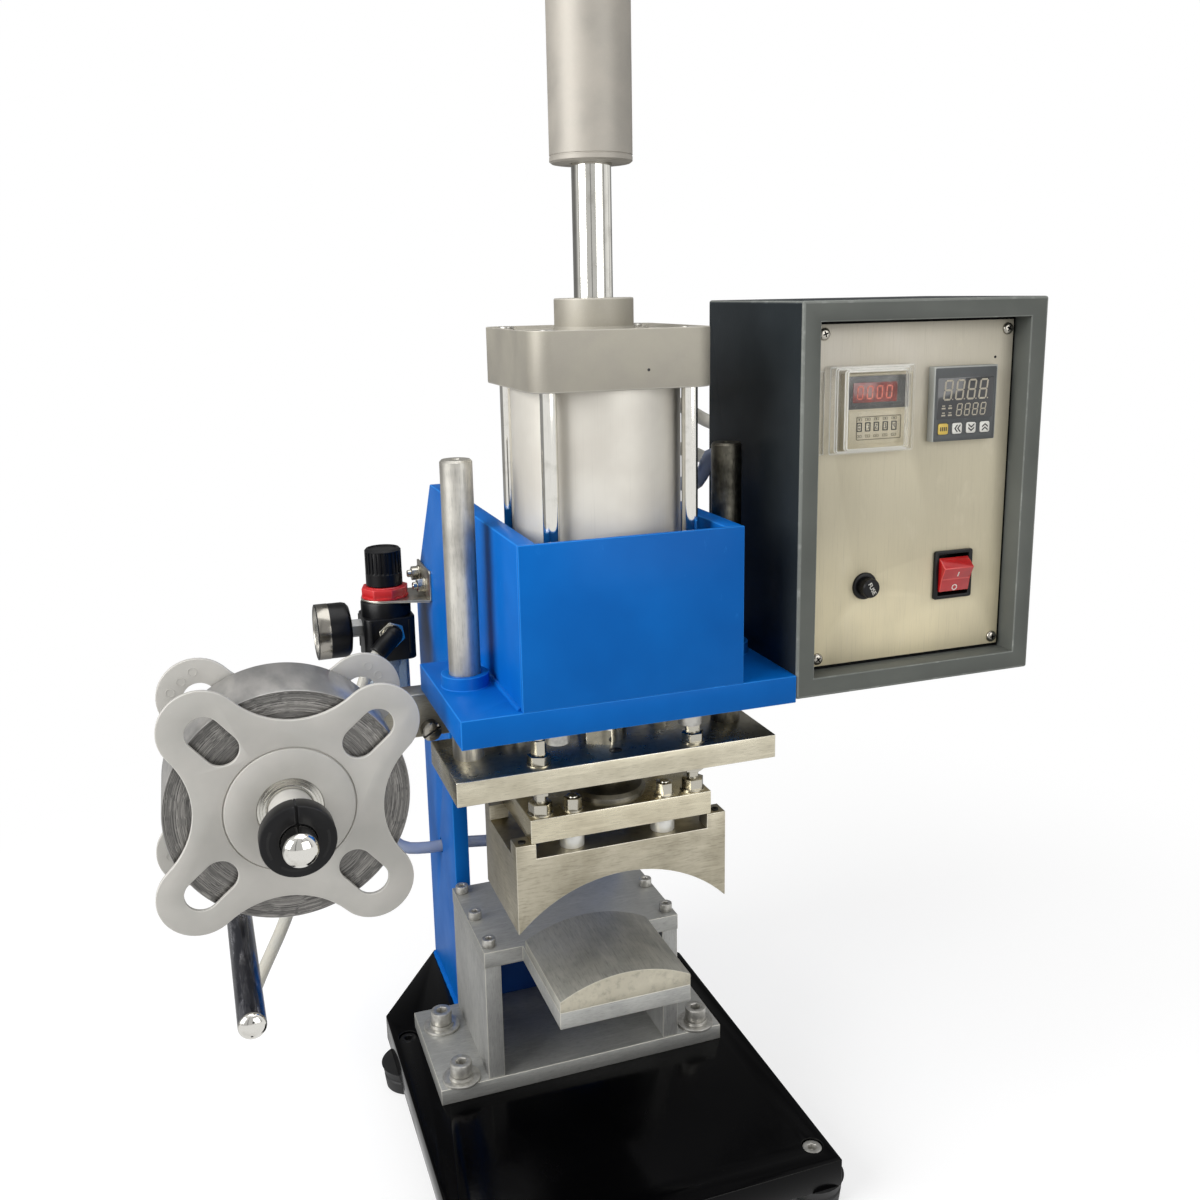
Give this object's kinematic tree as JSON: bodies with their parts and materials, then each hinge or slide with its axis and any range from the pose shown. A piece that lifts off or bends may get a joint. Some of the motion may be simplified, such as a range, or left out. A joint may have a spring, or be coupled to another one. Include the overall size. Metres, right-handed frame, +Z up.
{
  "type": "pneumatic hot stamping machine",
  "caption": "Bench-top pneumatic hot stamping press with C-frame, heated arched stamp, curved anvil, foil reel, control box and regulator.",
  "frame": {"origin": "middle of the outer box, at the underside of the feet", "axes": "+Z up; +Y away from the operator; +X to the operator's right, towards the control box"},
  "size_m": [0.5706, 0.3646, 0.798],
  "materials": {
    "blue_paint": "satin",
    "navy_paint": "satin",
    "black_gloss": "gloss",
    "foot_rubber": "matte",
    "cast_alloy": "bead blasted",
    "barrel_alloy": "anodised",
    "chrome": "polished",
    "ground_steel": "ground",
    "fixture_alloy": "satin",
    "reel_plastic": "satin",
    "foil_film": "satin metallic",
    "box_grey": "fine texture",
    "panel_steel": "brushed",
    "beige_plastic": "satin",
    "black_plastic": "satin",
    "clear_plastic": "clear",
    "red_plastic": "gloss",
    "white_plastic": "satin",
    "yellow_plastic": "satin"
  },
  "bodies": {
    "machine": {"base_plate": "black_gloss", "foot_front_left": "foot_rubber", "foot_front_right": "foot_rubber", "foot_rear_left": "foot_rubber", "foot_rear_right": "foot_rubber", "left_side_plate": "blue_paint", "right_side_plate": "blue_paint", "column_front_plate": "navy_paint", "column_rear_plate": "blue_paint", "head_plate": "blue_paint", "front_panel": "blue_paint", "cylinder_lower_cap": "cast_alloy", "cylinder_barrel": "barrel_alloy", "cylinder_upper_cap": "cast_alloy", "tie_rod_front_left": "chrome", "tie_rod_front_right": "chrome", "tie_rod_rear_left": "chrome", "tie_rod_rear_right": "chrome", "fixture_base": "fixture_alloy", "fixture_upright_left": "fixture_alloy", "fixture_upright_right": "fixture_alloy", "fixture_top": "fixture_alloy", "anvil": "fixture_alloy", "control_box": "box_grey", "control_panel": "panel_steel", "timer_case": "beige_plastic", "controller_case": "black_plastic", "switch_bezel": "black_plastic", "solenoid_valve": "fixture_alloy", "regulator_bracket": "ground_steel", "regulator_body": "black_plastic", "gauge_case": "black_plastic", "foil_arm": "ground_steel", "reel_shaft": "chrome", "shaft_collar": "black_plastic", "lower_guide_bar": "chrome", "supply_hose": "clear_plastic", "valve_hose": "clear_plastic", "lower_port_hose": "clear_plastic", "upper_port_hose": "clear_plastic"},
    "ram": {"piston_rod": "chrome", "ram_plate": "ground_steel", "guide_rod_left": "ground_steel", "guide_rod_right": "ground_steel", "heater_plate": "ground_steel", "stamp_block": "ground_steel", "ram_coupling": "ground_steel"},
    "sleeve": {"adjuster_sleeve": "cast_alloy"},
    "reel": {"reel_flange_front": "reel_plastic", "reel_flange_rear": "reel_plastic", "foil_roll": "foil_film"},
    "knob": {"regulator_knob": "black_plastic"},
    "needle": {"gauge_needle": "black_plastic"},
    "cover": {"timer_cover": "clear_plastic"},
    "mode_key": {"key_mode": "yellow_plastic"},
    "left_key": {"key_left": "white_plastic"},
    "down_key": {"key_down": "white_plastic"},
    "up_key": {"key_up": "white_plastic"},
    "rocker": {"switch_rocker": "red_plastic"},
    "fuse": {"fuse_cap": "black_plastic"}
  },
  "joints": [
    {"name": "ram_stroke", "type": "slide", "parent": "machine", "child": "ram", "axis": [0, 0, -1], "range_m": [0, 0.071]},
    {"name": "stroke_sleeve_turn", "type": "hinge", "parent": "ram", "child": "sleeve", "pos_m": [-0.00225, -0.07665, 0.7425], "axis": [0, 0, 1], "continuous": true},
    {"name": "reel_turn", "type": "hinge", "parent": "machine", "child": "reel", "pos_m": [-0.20695, -0.07565, 0.321], "axis": [0, 1, 0], "continuous": true},
    {"name": "pressure_knob_turn", "type": "hinge", "parent": "machine", "child": "knob", "pos_m": [-0.10575, 0.14335, 0.4065], "axis": [0, 0, 1], "continuous": true},
    {"name": "gauge_needle_swing", "type": "hinge", "parent": "machine", "child": "needle", "pos_m": [-0.15825, 0.14335, 0.3555], "axis": [1, 0, 0], "range_deg": [0, 270]},
    {"name": "timer_cover_hinge", "type": "hinge", "parent": "machine", "child": "cover", "pos_m": [0.16675, -0.12965, 0.5651], "axis": [-1, 0, 0], "range_deg": [0, 90]},
    {"name": "mode_key_press", "type": "slide", "parent": "machine", "child": "mode_key", "axis": [0, 1, 0], "range_m": [0, 0.0006], "stiffness_N_per_m": 1500, "springref_m": -0.0001},
    {"name": "left_key_press", "type": "slide", "parent": "machine", "child": "left_key", "axis": [0, 1, 0], "range_m": [0, 0.0006], "stiffness_N_per_m": 1500, "springref_m": -0.0001},
    {"name": "down_key_press", "type": "slide", "parent": "machine", "child": "down_key", "axis": [0, 1, 0], "range_m": [0, 0.0006], "stiffness_N_per_m": 1500, "springref_m": -0.0001},
    {"name": "up_key_press", "type": "slide", "parent": "machine", "child": "up_key", "axis": [0, 1, 0], "range_m": [0, 0.0006], "stiffness_N_per_m": 1500, "springref_m": -0.0001},
    {"name": "rocker_tilt", "type": "hinge", "parent": "machine", "child": "rocker", "pos_m": [0.2311, -0.12565, 0.4242], "axis": [-1, 0, 0], "range_deg": [0, 36]},
    {"name": "fuse_cap_turn", "type": "hinge", "parent": "machine", "child": "fuse", "pos_m": [0.16375, -0.13265, 0.4224], "axis": [0, -1, 0], "range_deg": [0, 90]}
  ]
}
